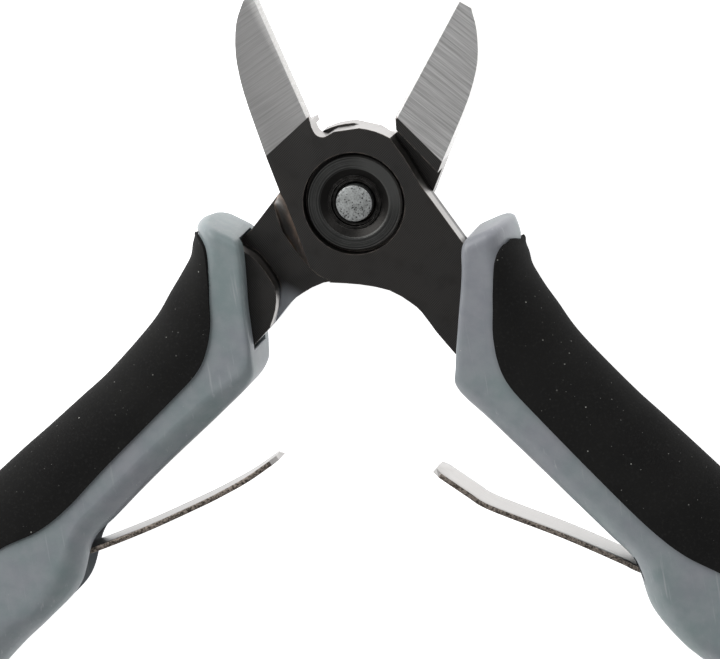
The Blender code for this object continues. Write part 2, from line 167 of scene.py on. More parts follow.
def add(tree, kind, links=(), **settings):
    """Adds a node, sets its properties and plugs the given outputs into its inputs."""
    node = tree.nodes.new(kind)
    for key, value in settings.items():
        setattr(node, key, value)
    for key, source in dict(links).items():
        if isinstance(source, bpy.types.NodeSocket):
            tree.links.new(source, node.inputs[key])
        else:
            node.inputs[key].default_value = source
    return node


def ramp(tree, factor, low, high, smooth=True):
    """0 below low, 1 above high."""
    kind = "SMOOTHSTEP" if smooth else "LINEAR"
    return add(tree, "ShaderNodeMapRange", {"Value": factor, "From Min": low, "From Max": high},
               interpolation_type=kind).outputs[0]


def blend_value(tree, factor, first, second):
    return add(tree, "ShaderNodeMix", {0: factor, 2: first, 3: second}, data_type="FLOAT").outputs[0]


def blend_colour(tree, factor, first, second):
    node = add(tree, "ShaderNodeMix", {0: factor, 6: first, 7: second}, data_type="RGBA")
    return node.outputs[2]


# %% Group: fine straight lines
lines_group, entry, out = new_group(
    "straight_lines",
    [("Vector", "NodeSocketVector", None), ("Angle", "NodeSocketFloat", 0.0),
     ("Scale", "NodeSocketFloat", 6000.0), ("Stretch", "NodeSocketFloat", 0.03)],
    [("Value", "NodeSocketFloat")])
turned = add(lines_group, "ShaderNodeVectorRotate", {"Vector": entry.outputs["Vector"],
             "Angle": entry.outputs["Angle"]}, rotation_type="Z_AXIS")
split = add(lines_group, "ShaderNodeSeparateXYZ", {0: turned.outputs[0]})
along = add(lines_group, "ShaderNodeMath", {0: split.outputs[0], 1: entry.outputs["Stretch"]},
            operation="MULTIPLY")
joined = add(lines_group, "ShaderNodeCombineXYZ", {0: along.outputs[0], 1: split.outputs[1],
             2: split.outputs[2]})
lines_noise = add(lines_group, "ShaderNodeTexNoise", {"Vector": joined.outputs[0],
                  "Scale": entry.outputs["Scale"], "Detail": 3.0, "Roughness": 0.65})
lines_group.links.new(lines_noise.outputs[0], out.inputs[0])

# %% Group: regular milled lines
milled_group, entry, out = new_group(
    "milled_lines",
    [("Vector", "NodeSocketVector", None), ("Angle", "NodeSocketFloat", 0.0),
     ("Scale", "NodeSocketFloat", 1600.0)],
    [("Value", "NodeSocketFloat")])
turned = add(milled_group, "ShaderNodeVectorRotate", {"Vector": entry.outputs["Vector"],
             "Angle": entry.outputs["Angle"]}, rotation_type="Z_AXIS")
bands = add(milled_group, "ShaderNodeTexWave", {"Vector": turned.outputs[0], "Scale": entry.outputs["Scale"],
            "Distortion": 2.5, "Detail": 2.0, "Detail Scale": 0.4}, bands_direction="X")
fade = add(milled_group, "ShaderNodeTexNoise", {"Vector": entry.outputs["Vector"], "Scale": 300.0,
           "Detail": 3.0})
strength = ramp(milled_group, fade.outputs[0], -0.1, 0.55)
faded = add(milled_group, "ShaderNodeMath", {0: bands.outputs["Fac"], 1: strength}, operation="MULTIPLY")
milled_group.links.new(faded.outputs[0], out.inputs[0])

# %% Group: worn edges
wear_group, entry, out = new_group(
    "worn_edges",
    [("Vector", "NodeSocketVector", None), ("Break Scale", "NodeSocketFloat", 900.0),
     ("Amount", "NodeSocketFloat", 1.0)],
    [("Mask", "NodeSocketFloat")])
geometry = add(wear_group, "ShaderNodeNewGeometry")
rounded = add(wear_group, "ShaderNodeBevel", {"Radius": 0.00035}, samples=6)
alike = add(wear_group, "ShaderNodeVectorMath", {0: geometry.outputs["Normal"], 1: rounded.outputs[0]},
            operation="DOT_PRODUCT")
edge = ramp(wear_group, alike.outputs["Value"], 0.985, 0.80)
breakup = add(wear_group, "ShaderNodeTexNoise", {"Vector": entry.outputs["Vector"],
              "Scale": entry.outputs["Break Scale"], "Detail": 4.0})
patchy = ramp(wear_group, breakup.outputs[0], 0.35, 0.62)
both = add(wear_group, "ShaderNodeMath", {0: edge, 1: patchy}, operation="MULTIPLY")
scaled = add(wear_group, "ShaderNodeMath", {0: both.outputs[0], 1: entry.outputs["Amount"]},
             operation="MULTIPLY", use_clamp=True)
wear_group.links.new(scaled.outputs[0], out.inputs[0])

# %% Group: dust specks
dust_group, entry, out = new_group(
    "dust_specks",
    [("Vector", "NodeSocketVector", None), ("Scale", "NodeSocketFloat", 350.0),
     ("Size", "NodeSocketFloat", 0.1), ("Share", "NodeSocketFloat", 0.2)],
    [("Mask", "NodeSocketFloat")])
cells = add(dust_group, "ShaderNodeTexVoronoi", {"Vector": entry.outputs["Vector"],
            "Scale": entry.outputs["Scale"]})
near = add(dust_group, "ShaderNodeMath", {0: cells.outputs["Distance"], 1: entry.outputs["Size"]},
           operation="LESS_THAN")
chance = add(dust_group, "ShaderNodeSeparateColor", {0: cells.outputs["Color"]})
picked = add(dust_group, "ShaderNodeMath", {0: chance.outputs[0], 1: entry.outputs["Share"]},
             operation="LESS_THAN")
speck = add(dust_group, "ShaderNodeMath", {0: near.outputs[0], 1: picked.outputs[0]}, operation="MULTIPLY")
dim = add(dust_group, "ShaderNodeMath", {0: speck.outputs[0], 1: chance.outputs[1]}, operation="MULTIPLY")
dust_group.links.new(dim.outputs[0], out.inputs[0])

# %% Group: slow mottling
mottle_group, entry, out = new_group(
    "mottle",
    [("Vector", "NodeSocketVector", None), ("Scale", "NodeSocketFloat", 120.0)],
    [("Value", "NodeSocketFloat")])
cloud = add(mottle_group, "ShaderNodeTexNoise", {"Vector": entry.outputs["Vector"],
            "Scale": entry.outputs["Scale"], "Detail": 5.0, "Roughness": 0.6})
spread = ramp(mottle_group, cloud.outputs[0], 0.3, 0.7)
mottle_group.links.new(spread, out.inputs[0])
print("node groups:", [group.name for group in bpy.data.node_groups])


# %% [markdown]
# ## Materials
# A material starts with its Principled shader and the Object coordinates. Helpers place a group and
# read its output. The steel of each half has two finishes with a straight border: bare ground metal
# on the jaw and blackened metal below it. The border is a plane, so the mask is a dot product.

# %% Helpers for materials
def start_material(name, roughness=0.5, metallic=0.0):
    material = bpy.data.materials.new(name)
    material.use_nodes = True
    tree = material.node_tree
    shader = tree.nodes["Principled BSDF"]
    shader.inputs["Roughness"].default_value = roughness
    shader.inputs["Metallic"].default_value = metallic
    place = add(tree, "ShaderNodeTexCoord").outputs["Object"]
    return material, tree, shader, place


def use_group(tree, group, **values):
    node = tree.nodes.new("ShaderNodeGroup")
    node.node_tree = group
    for key, value in values.items():
        socket = node.inputs[key.replace("_", " ")]
        if isinstance(value, bpy.types.NodeSocket):
            tree.links.new(value, socket)
        else:
            socket.default_value = value
    return node.outputs[0]


def bump(tree, height, strength, distance, below=None):
    node = add(tree, "ShaderNodeBump", {"Height": height, "Strength": strength, "Distance": distance})
    if below is not None:
        tree.links.new(below, node.inputs["Normal"])
    return node.outputs[0]


def shut_frame(tree, place, side):
    """Object coordinates turned back to the shut drawing of one half."""
    back = add(tree, "ShaderNodeVectorRotate", {"Vector": place, "Angle": -side * OPEN_ANGLE},
               rotation_type="Z_AXIS")
    flip = add(tree, "ShaderNodeVectorMath", {0: back.outputs[0], 1: (side, 1.0, 1.0)},
               operation="MULTIPLY")
    return flip.outputs[0]


# %% Steel of the two halves
# direction across the border, and the border's distance from the pivot
GROUND_BORDER = ((-0.303, 0.953), 13.42)


def heel_mask(tree, shut, up):
    """The sloping heel on the left of the front half, where the blacking has worn off."""
    split = add(tree, "ShaderNodeSeparateXYZ", {0: shut})
    left = ramp(tree, split.outputs[0], -0.0087, -0.0092)
    below = ramp(tree, split.outputs[1], 0.0065, 0.0050)
    sloping = ramp(tree, up, 0.97, 0.90)
    standing = ramp(tree, up, 0.15, 0.35)
    mask = left
    for part in (below, sloping, standing):
        mask = add(tree, "ShaderNodeMath", {0: mask, 1: part}, operation="MULTIPLY").outputs[0]
    return mask


def heel_colour(tree, shut):
    """Brown oxide with bright rubbed streaks along the slope."""
    streaks = use_group(tree, lines_group, Vector=shut, Angle=math.radians(95), Scale=1500.0, Stretch=0.22)
    blotches = use_group(tree, mottle_group, Vector=shut, Scale=420.0)
    brown = blend_colour(tree, blotches, (0.16, 0.115, 0.090, 1), (0.60, 0.44, 0.35, 1))
    return blend_colour(tree, ramp(tree, streaks, 0.56, 0.70), brown, (0.70, 0.64, 0.60, 1))


def painted_cheek_highlight_mask(tree, shut):
    """Painted highlight: a light grey band on the inner side of the rear half, below its step, in place of a
    lit bevel that the mesh does not have.
    """
    split = add(tree, "ShaderNodeSeparateXYZ", {0: shut})
    mask = ramp(tree, split.outputs[0], 0.0054, 0.0036)
    below = ramp(tree, split.outputs[1], -0.0155, -0.0185)
    rear = ramp(tree, split.outputs[2], -0.0030, -0.0038)
    for part in (below, rear):
        mask = add(tree, "ShaderNodeMath", {0: mask, 1: part}, operation="MULTIPLY").outputs[0]
    return mask


def arm_steel(name, side, ground_tone):
    material, tree, shader, place = start_material(name, metallic=1.0)
    shut = shut_frame(tree, place, side)
    (across_x, across_y), distance = GROUND_BORDER
    height = add(tree, "ShaderNodeVectorMath", {0: shut, 1: (across_x, across_y, 0.0)},
                 operation="DOT_PRODUCT")
    bare = ramp(tree, height.outputs["Value"], (distance - 0.03) * MM, (distance + 0.03) * MM)

    normal = add(tree, "ShaderNodeNewGeometry").outputs["Normal"]
    up = add(tree, "ShaderNodeSeparateXYZ", {0: normal}).outputs[2]
    wall = ramp(tree, add(tree, "ShaderNodeMath", {0: up}, operation="ABSOLUTE").outputs[0], 0.75, 0.35)
    split = add(tree, "ShaderNodeSeparateXYZ", {0: shut})
    lapped = ramp(tree, split.outputs[2], -0.0030, -0.0022)
    upper = ramp(tree, split.outputs[1], 0.005, 0.007)
    lapped = add(tree, "ShaderNodeMath", {0: lapped, 1: upper}, operation="MAXIMUM").outputs[0]
    polished = add(tree, "ShaderNodeMath", {0: wall, 1: lapped}, operation="MULTIPLY").outputs[0]

    fine_hatch = use_group(tree, milled_group, Vector=shut, Angle=math.radians(-7), Scale=1450.0)
    cross_hatch = use_group(tree, milled_group, Vector=shut, Angle=math.radians(70), Scale=1250.0)
    hatch = blend_value(tree, 0.35, fine_hatch, cross_hatch)
    mottle = use_group(tree, mottle_group, Vector=shut, Scale=65.0)
    wear = use_group(tree, wear_group, Vector=shut, Amount=0.75)
    black = blend_colour(tree, mottle, (0.030, 0.030, 0.0304, 1), (0.037, 0.033, 0.030, 1))
    black = blend_colour(tree, hatch, black, (0.078, 0.075, 0.072, 1))
    if side > 0:
        black = blend_colour(tree, heel_mask(tree, shut, up), black, heel_colour(tree, shut))
    # the rear half gets the painted highlight band on its inner cheek
    else:
        black = blend_colour(tree, painted_cheek_highlight_mask(tree, shut), black, (0.46, 0.48, 0.51, 1))
    black = blend_colour(tree, polished, black, (0.36, 0.345, 0.335, 1))
    black = blend_colour(tree, wear, black, (0.24, 0.20, 0.17, 1))

    grind = use_group(tree, lines_group, Vector=shut, Angle=math.radians(-9 if side > 0 else -12),
                      Scale=2600.0 if side > 0 else 1900.0, Stretch=0.014)
    fine = use_group(tree, lines_group, Vector=shut, Angle=math.radians(-10), Scale=6500.0, Stretch=0.02)
    both = blend_value(tree, 0.5, grind, fine)
    contrast = 0.20 if side > 0 else 0.36
    tone = blend_colour(tree, ramp(tree, both, 0.36, 0.64), (ground_tone * (1 - contrast),) * 3 + (1,),
                        (ground_tone * (1 + contrast),) * 3 + (1,))
    warm = blend_colour(tree, 0.35, tone, (ground_tone, ground_tone * 0.95, ground_tone * 0.91, 1))
    colour = blend_colour(tree, bare, black, warm)
    tree.links.new(colour, shader.inputs["Base Color"])

    rough_flat = add(tree, "ShaderNodeMapRange", {"Value": hatch, "To Min": 0.40, "To Max": 0.5}).outputs[0]
    rough_black = blend_value(tree, wall, rough_flat, 0.3)
    rough_bare = add(tree, "ShaderNodeMapRange", {"Value": grind, "To Min": 0.32, "To Max": 0.44}).outputs[0]
    tree.links.new(blend_value(tree, bare, rough_black, rough_bare), shader.inputs["Roughness"])
    relief_black = bump(tree, hatch, 0.35, 0.00002)
    tree.links.new(bump(tree, both, 0.22, 0.000012, relief_black), shader.inputs["Normal"])
    return material


steel = {1: arm_steel("front_steel", 1, 0.50), -1: arm_steel("rear_steel", -1, 0.66)}


# %% Turned and plain steels
def turned_steel(name, dark, light, dish, ring_scale):
    """Metal with fine rings round the pivot axis, as a lathe leaves them, with a painted highlight on the
    side towards the right and the tips, and painted shade in the dish.
    """
    material, tree, shader, place = start_material(name, 0.36, 1.0)
    flat = add(tree, "ShaderNodeVectorMath", {0: place, 1: (1, 1, 0)}, operation="MULTIPLY").outputs[0]
    radius = add(tree, "ShaderNodeVectorMath", {0: flat}, operation="LENGTH").outputs["Value"]
    rings = add(tree, "ShaderNodeTexNoise", {"W": radius, "Scale": ring_scale, "Detail": 4.0,
                "Roughness": 0.7}, noise_dimensions="1D").outputs[0]
    mottle = use_group(tree, mottle_group, Vector=place, Scale=260.0)
    wear = use_group(tree, wear_group, Vector=place, Amount=0.5)
    colour = blend_colour(tree, ramp(tree, rings, 0.35, 0.68), dark, light)
    faint = add(tree, "ShaderNodeMath", {0: mottle, 1: 0.5}, operation="MULTIPLY").outputs[0]
    colour = blend_colour(tree, faint, colour, dark)
    # painted highlight: the side of the nut towards the right and the tips is blended to the light colour
    outward = add(tree, "ShaderNodeVectorMath", {0: flat}, operation="NORMALIZE").outputs[0]
    painted_highlight_facing = add(tree, "ShaderNodeVectorMath", {0: outward, 1: (0.75, 0.66, 0)}, operation="DOT_PRODUCT")
    colour = blend_colour(tree, ramp(tree, painted_highlight_facing.outputs["Value"], 0.45, 1.0), colour, light)
    # painted shade: the dish inside a radius of 4.9 mm takes the darker colour
    colour = blend_colour(tree, ramp(tree, radius, 0.0050, 0.0049), colour, dish)
    colour = blend_colour(tree, wear, colour, (0.22, 0.21, 0.20, 1))
    tree.links.new(colour, shader.inputs["Base Color"])
    tree.links.new(bump(tree, rings, 0.9, 0.00003), shader.inputs["Normal"])
    return material


def pitted_steel(name):
    """The screw's cut end: pale, with tiny dark pits."""
    material, tree, shader, place = start_material(name, 0.42, 1.0)
    pits = use_group(tree, dust_group, Vector=place, Scale=3600.0, Size=0.42, Share=0.6)
    grain = add(tree, "ShaderNodeTexNoise", {"Vector": place, "Scale": 3800.0, "Detail": 4.0}).outputs[0]
    mottle = use_group(tree, mottle_group, Vector=place, Scale=900.0)
    colour = blend_colour(tree, mottle, (0.60, 0.62, 0.61, 1), (0.40, 0.41, 0.40, 1))
    colour = blend_colour(tree, ramp(tree, grain, 0.52, 0.70), colour, (0.26, 0.26, 0.26, 1))
    colour = blend_colour(tree, pits, colour, (0.03, 0.03, 0.03, 1))
    tree.links.new(colour, shader.inputs["Base Color"])
    tree.links.new(bump(tree, grain, 0.4, 0.00003), shader.inputs["Normal"])
    return material


# colours: dark rings, light rings with the painted highlight, and the painted shade of the dish
nut_steel = turned_steel("nut_steel", (0.038, 0.038, 0.037, 1), (0.115, 0.115, 0.111, 1),
                         (0.022, 0.021, 0.020, 1), 5200.0)
screw_steel = pitted_steel("screw_steel")


# %% Spring strip
def spring_strip(name):
    """Bright rolled faces, and dark sheared edges with short marks across them."""
    material, tree, shader, place = start_material(name, 0.32, 1.0)
    normal = add(tree, "ShaderNodeNewGeometry").outputs["Normal"]
    up = add(tree, "ShaderNodeSeparateXYZ", {0: normal}).outputs[2]
    edge = ramp(tree, add(tree, "ShaderNodeMath", {0: up}, operation="ABSOLUTE").outputs[0], 0.45, 0.75)
    rolled = use_group(tree, lines_group, Vector=place, Angle=math.radians(20), Scale=3500.0, Stretch=0.03)
    marks = add(tree, "ShaderNodeTexNoise", {"Vector": place, "Scale": 3300.0, "Detail": 3.0,
                "Roughness": 0.7}).outputs[0]
    bright = blend_colour(tree, rolled, (0.36, 0.345, 0.335, 1), (0.48, 0.465, 0.45, 1))
    sheared = blend_colour(tree, ramp(tree, marks, 0.35, 0.66), (0.060, 0.052, 0.044, 1),
                           (0.42, 0.36, 0.31, 1))
    tree.links.new(blend_colour(tree, edge, bright, sheared), shader.inputs["Base Color"])
    tree.links.new(blend_value(tree, edge, 0.30, 0.50), shader.inputs["Roughness"])
    tree.links.new(bump(tree, marks, 0.3, 0.00003), shader.inputs["Normal"])
    return material


spring_steel = spring_strip("spring_strip")


# %% Grip plastics
def shell_plastic(name):
    """Hard satin moulding: grey with a blue cast, faint scuffs and a little dust."""
    material, tree, shader, place = start_material(name, 0.42)
    mottle = use_group(tree, mottle_group, Vector=place, Scale=75.0)
    patches = use_group(tree, mottle_group, Vector=place, Scale=420.0)
    fine = add(tree, "ShaderNodeTexNoise", {"Vector": place, "Scale": 5200.0, "Detail": 3.0}).outputs[0]
    scuffs = use_group(tree, lines_group, Vector=place, Angle=math.radians(80), Scale=1500.0, Stretch=0.05)
    dust = use_group(tree, dust_group, Vector=place, Scale=700.0, Size=0.06, Share=0.20)
    colour = blend_colour(tree, mottle, (0.184, 0.230, 0.232, 1), (0.218, 0.226, 0.250, 1))
    lighter = blend_colour(tree, 0.22, colour, (0.36, 0.37, 0.38, 1))
    colour = blend_colour(tree, patches, colour, lighter)
    colour = blend_colour(tree, ramp(tree, scuffs, 0.60, 0.76), colour, (0.30, 0.32, 0.33, 1))
    colour = blend_colour(tree, dust, colour, (0.40, 0.41, 0.41, 1))
    tree.links.new(colour, shader.inputs["Base Color"])
    rough = add(tree, "ShaderNodeMapRange", {"Value": fine, "To Min": 0.36, "To Max": 0.50}).outputs[0]
    tree.links.new(rough, shader.inputs["Roughness"])
    tree.links.new(bump(tree, fine, 0.18, 0.00003), shader.inputs["Normal"])
    return material


def pad_rubber(name):
    """Soft black elastomer: matt, with a fine grain and pale specks of dust."""
    material, tree, shader, place = start_material(name, 0.85)
    shader.inputs["Specular IOR Level"].default_value = 0.1
    mottle = use_group(tree, mottle_group, Vector=place, Scale=90.0)
    grain = add(tree, "ShaderNodeTexNoise", {"Vector": place, "Scale": 2600.0, "Detail": 4.0,
                "Roughness": 0.65}).outputs[0]
    specks = use_group(tree, dust_group, Vector=place, Scale=620.0, Size=0.075, Share=0.55)
    fluff = use_group(tree, dust_group, Vector=place, Scale=1700.0, Size=0.10, Share=0.22)
    colour = blend_colour(tree, mottle, (0.0080, 0.0079, 0.0078, 1), (0.0110, 0.0108, 0.0104, 1))
    colour = blend_colour(tree, ramp(tree, grain, 0.5, 0.75), colour, (0.017, 0.0168, 0.0162, 1))
    colour = blend_colour(tree, specks, colour, (0.26, 0.26, 0.24, 1))
    colour = blend_colour(tree, fluff, colour, (0.16, 0.16, 0.15, 1))
    tree.links.new(colour, shader.inputs["Base Color"])
    tree.links.new(bump(tree, grain, 0.30, 0.00005), shader.inputs["Normal"])
    return material


def holder_plastic(name):
    material, tree, shader, place = start_material(name, 0.5)
    mottle = use_group(tree, mottle_group, Vector=place, Scale=300.0)
    colour = blend_colour(tree, mottle, (0.07, 0.075, 0.08, 1), (0.11, 0.115, 0.12, 1))
    tree.links.new(colour, shader.inputs["Base Color"])
    grain = add(tree, "ShaderNodeTexNoise", {"Vector": place, "Scale": 3000.0}).outputs[0]
    tree.links.new(bump(tree, grain, 0.2, 0.00003), shader.inputs["Normal"])
    return material


shell_material = shell_plastic("shell_plastic")
pad_material = pad_rubber("pad_rubber")
holder_material = holder_plastic("holder_plastic")
print("materials:", len(bpy.data.materials))


# %% [markdown]
# ## The two forged halves
# The CAD solids already have the true outline, laps and bevels, but their edges are razor sharp. A
# copy of each is merged, its flat triangles are joined, and every real edge gets a small round. A
# round edge is what catches the light, so this one step makes the steel look like steel.

# %% Rounded copies of CAD solids
def rounded_copy(node, new_name, material, width, body, segments=2):
    bm = bmesh.new()
    bm.from_mesh(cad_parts[node].data)
    bmesh.ops.remove_doubles(bm, verts=bm.verts, dist=0.000002)
    bmesh.ops.dissolve_limit(bm, angle_limit=math.radians(0.4), verts=bm.verts, edges=bm.edges)
    bmesh.ops.scale(bm, vec=(1 / MM,) * 3, verts=bm.verts)
    soften(bm, sharp_edges(bm, 24), width, segments)
    piece = finish_mesh(new_name, bm, Matrix.Scale(MM, 4), material, 18)
    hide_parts(node)
    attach(piece, body)
    print(new_name, len(piece.data.polygons), "faces")
    return piece


for side_name, node in (("right", "front_half"), ("left", "rear_half")):
    rounded_copy(node, node + "_steel", steel[SIDES[side_name]], 0.14, ARM_OF[side_name])

# %% [markdown]
# ## The pivot
# The nut and the screw are turned parts, so each is a profile spun round the axis. The nut has a flat
# ring, a dish that falls to the middle, and a small step round the end of the screw.

# %% Turned pieces
ROUND_STEPS = 128


def spun(profile):
    bm = bmesh.new()
    verts = [bm.verts.new((radius, 0, z)) for radius, z in profile]
    edges = [bm.edges.new(pair) for pair in zip(verts, verts[1:] + verts[:1])]
    bmesh.ops.spin(bm, geom=verts + edges, axis=(0, 0, 1), cent=(0, 0, 0), angle=math.tau,
                   steps=ROUND_STEPS, use_merge=True)
    bmesh.ops.remove_doubles(bm, verts=bm.verts, dist=1e-4)
    loose = [edge for edge in bm.edges if not edge.link_faces]
    bmesh.ops.delete(bm, geom=loose, context="EDGES")
    return bm


def make_nut():
    bore = SHANK_R + 0.22
    back = NUT_FACE - 1.8
    profile = [(bore, back), (NUT_R, back), (NUT_R, NUT_FACE - 0.3), (NUT_R - 0.25, NUT_FACE),
               (5.15, NUT_FACE), (5.0, NUT_FACE - 0.06), (3.95, NUT_FACE - 0.62), (3.85, NUT_FACE - 0.62),
               (3.75, NUT_FACE - 0.45), (3.45, NUT_FACE - 0.45), (3.3, NUT_FACE - 0.85),
               (3.05, NUT_FACE - 0.85), (bore, NUT_FACE - 1.1)]
    nut = finish_mesh("pivot_nut_turned", spun(profile), Matrix.Scale(MM, 4), nut_steel, 20)
    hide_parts("pivot_nut")
    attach(nut, "front_arm")
    return nut


def make_screw():
    head_back = -8.3
    head_front = head_back + 1.9
    profile = [(0, head_back), (4.9, head_back), (5.25, head_back + 0.12), (5.4, head_back + 0.45),
               (5.4, head_front), (SHANK_R, head_front), (SHANK_R, -0.12), (SHANK_R - 0.1, -0.02),
               (SHANK_R - 0.22, 0), (0, 0)]
    screw = finish_mesh("pivot_screw_turned", spun(profile), Matrix.Scale(MM, 4), screw_steel, 20)
    slot_plan = [(-7, -0.6), (7, -0.6), (7, 0.6), (-7, 0.6)]
    slot = finish_mesh("slot_cutter", prism(slot_plan, head_back - 1, head_back + 0.9),
                       Matrix.Scale(MM, 4), screw_steel)
    cut_away(screw, [slot])
    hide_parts("pivot_screw")
    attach(screw, "front_arm")
    return screw


def cut_away(thing, cutters):
    """Cuts the cutters out of a piece, keeps the result and removes the cutters."""
    for cutter in cutters:
        modifier = thing.modifiers.new("cut", "BOOLEAN")
        modifier.object = cutter
        modifier.solver = "EXACT"
        modifier.operation = "DIFFERENCE"
    graph = bpy.context.evaluated_depsgraph_get()
    result = bpy.data.meshes.new_from_object(thing.evaluated_get(graph))
    thing.modifiers.clear()
    old = thing.data
    thing.data = result
    bpy.data.meshes.remove(old)
    for cutter in cutters:
        bpy.data.objects.remove(cutter, do_unlink=True)


nut = make_nut()
screw = make_screw()
print("pivot:", len(nut.data.polygons), "+", len(screw.data.polygons), "faces")

# %% [markdown]
# ## The grips
# A grip is a loft: one closed ring of edges, extruded from section to section. Each section has
# fixed zones (inner wall, chamfer, grey strip, pad, outer side), so one row of edges follows the
# border between the hard shell and the soft pad all the way down. The pad's faces can then be lifted
# off as their own piece, and the same faces on the shell are sunk to make the recess under it.

# %% Grip stations and borders
# inner edge, outer edge, half thickness, width of the inner chamfer
GRIP_STATIONS = [
    ((13.7, -12.15), (17.3, -12.15), 4.6, 0.3),
    ((12.8, -12.3), (18.4, -12.3), 6.3, 0.5),
    ((12.1, -12.7), (19.05, -12.75), 7.0, 0.6),
    ((11.5, -13.4), (19.0, -13.4), GRIP_HALF, 0.6),
    ((10.4, -15.1), (18.35, -14.4), GRIP_HALF, 0.6),
    ((9.0, -17.5), (18.05, -15.9), GRIP_HALF, 0.6),
    ((7.0, -20.9), (17.5, -18.2), GRIP_HALF, 0.6),
    ((3.6, -26.8), (17.6, -21.6), GRIP_HALF, 0.8),
    ((2.2, -30.0), (18.1, -24.8), GRIP_HALF, 1.7),
    ((4.0, -36.1), (19.0, -30.4), GRIP_HALF, 2.7),
    ((7.2, -45.0), (22.0, -40.0), GRIP_HALF, 2.9),
    ((9.4, -51.0), (24.3, -45.8), GRIP_HALF, 2.9),
    ((11.6, -57.5), (26.8, -52.2), GRIP_HALF, 2.9),
    ((13.2, -62.5), (28.9, -57.5), GRIP_HALF, 2.9),
    ((12.7, -69.5), (31.6, -65.0), GRIP_HALF, 3.2),
    ((14.4, -75.8), (33.4, -71.5), GRIP_HALF, 2.3),
    ((16.4, -81.6), (34.7, -78.5), GRIP_HALF, 3.4),
    ((18.6, -90.0), (35.3, -88.0), GRIP_HALF, 3.4),
    ((19.6, -99.0), (34.6, -98.0), 7.0, 3.2),
    ((20.6, -106.0), (32.4, -106.0), 6.5, 2.6),
    ((22.6, -110.3), (29.6, -110.5), 5.3, 1.6),
    ((24.2, -112.0), (28.0, -112.1), 4.0, 0.8),
    ((25.6, -112.6), (26.8, -112.6), 2.2, 0.3),
]
PAD_EDGE = [
    (19.9, -13.9), (18.6, -14.05), (17.2, -14.35), (15.5, -15.6), (13.5, -18.9), (12.1, -21.6),
    (10.4, -24.8), (9.3, -28.5), (9.2, -32.0), (10.6, -37.0), (15.0, -50.5), (17.9, -58.8),
    (20.5, -64.0), (24.2, -68.8), (28.4, -75.5), (30.2, -81.0), (31.6, -82.6),
]
PAD_OUTER_EDGE = [(31.6, -82.6), (32.8, -80.5), (33.1, -72.0), (32.2, -64.0), (29.6, -57.0), (28.0, -53.5)]
NOSE_REACH = {"right": 1.3, "left": 0.0}      # how much further the nose runs up the arm
NOSE_FOOT = -15.5
# The two grips are not quite alike. Each row is a height y in the shut drawing, and how far the
# line is moved to the right of the opened tool there.
LEAN = {
    "right": {
        "inner": [(-24.0, 0.1), (-32.0, 0.2), (-38.0, 0.7), (-54.0, 1.0), (-60.0, 1.6), (-66.0, 1.4),
                  (-74.0, 1.2), (-79.0, 2.1)],
        "outer": [(-14.5, 0.2), (-20.0, 0.9), (-30.0, 1.3), (-40.0, 1.8), (-52.0, 2.2)],
        "edge": [(-16.0, 0.0), (-25.0, 0.5), (-45.0, 1.0), (-60.0, 1.7), (-70.0, 2.1)],
    },
    "left": {
        "inner": [(-22.0, 0.3), (-27.0, 0.7), (-30.0, 0.5), (-45.0, 0.6), (-62.5, 1.3), (-69.5, 2.0)],
        "outer": [(-21.6, 0.1), (-24.8, 0.4), (-30.4, 0.9), (-40.0, 1.6), (-48.0, 1.9)],
        "edge": [(-20.0, 0.0), (-50.0, 0.15), (-64.0, 1.2), (-80.0, 1.9)],
    },
}
PAD_SAG = 1.9               # how much lower the pad starts on the middle of the outer side
NOSE_Y = -12.15
SAG_START = 1.2             # the distance over which the sag grows, from the nose down
SAG_END_Y = -20.5
SECTIONS_PER_SPAN = 9
WALL_POINTS = 6             # numbers of points in each zone of a section, on its front side
STRIP_POINTS = 9
PAD_POINTS = 22
SIDE_POINTS = 8


def crossing(start, end, line):
    """How far along start-end a plan line crosses it, or None."""
    span = end - start
    for a, b in zip(line, line[1:]):
        step = b - a
        turn = span.x * step.y - span.y * step.x
        if abs(turn) < 1e-9:
            continue
        offset = a - start
        along = (offset.x * step.y - offset.y * step.x) / turn
        part = (offset.x * span.y - offset.y * span.x) / turn
        if -0.02 <= along <= 1.0 and 0.0 <= part <= 1.0:
            return along
    return None


def front_height(u, wide, half, large):
    """Height of the front face above mid-thickness, at distance u from the inner edge."""
    past = max(0.0, u - (wide - large)) / large
    return half * math.sqrt(max(0.0, 1.0 - past**2))


def half_section(inner, outer, half, chamfer, pad_from, pad_to):
    """Points from the middle of the inner wall, over the front, to the middle of the outer side."""
    wide = (outer - inner).length
    large = 0.45 * wide
    chamfer = min(chamfer, 0.3 * wide)
    drop = min(0.85 * chamfer, 0.5 * half)
    first = 1.12 * chamfer
    points = [(0.0, 0.0), (0.0, 0.45 * (half - drop)), (0.0, 0.85 * (half - drop)),
              (0.06 * chamfer, half - drop), (0.25 * chamfer, half - 0.66 * drop),
              (0.80 * chamfer, half - 0.14 * drop), (first, half)]
    b_one = max(first + 0.05, min(pad_from * wide, wide))
    b_two = max(b_one, min(pad_to * wide, wide))
    zones = ((first, b_one, STRIP_POINTS), (b_one, b_two, PAD_POINTS), (b_two, wide, SIDE_POINTS))
    for low, high, count in zones:
        for step in range(1, count + 1):
            u = low + (high - low) * ease(step / count, low, wide)
            points.append((u, front_height(u, wide, half, large)))
    return points


def ease(t, low, wide):
    """Puts more points where the outer round falls away steeply."""
    return math.sin(0.5 * math.pi * t) if low > 0.3 * wide else t


print("grip stations:", len(GRIP_STATIONS))


# %% Loft the grip
def read_table(table, y):
    """Straight-line reading of a falling list of (y, value)."""
    for (high, first), (low, second) in zip(table, table[1:]):
        if y >= low:
            return first + (second - first) * min(1.0, max(0.0, (high - y) / (high - low)))
    return table[-1][1]


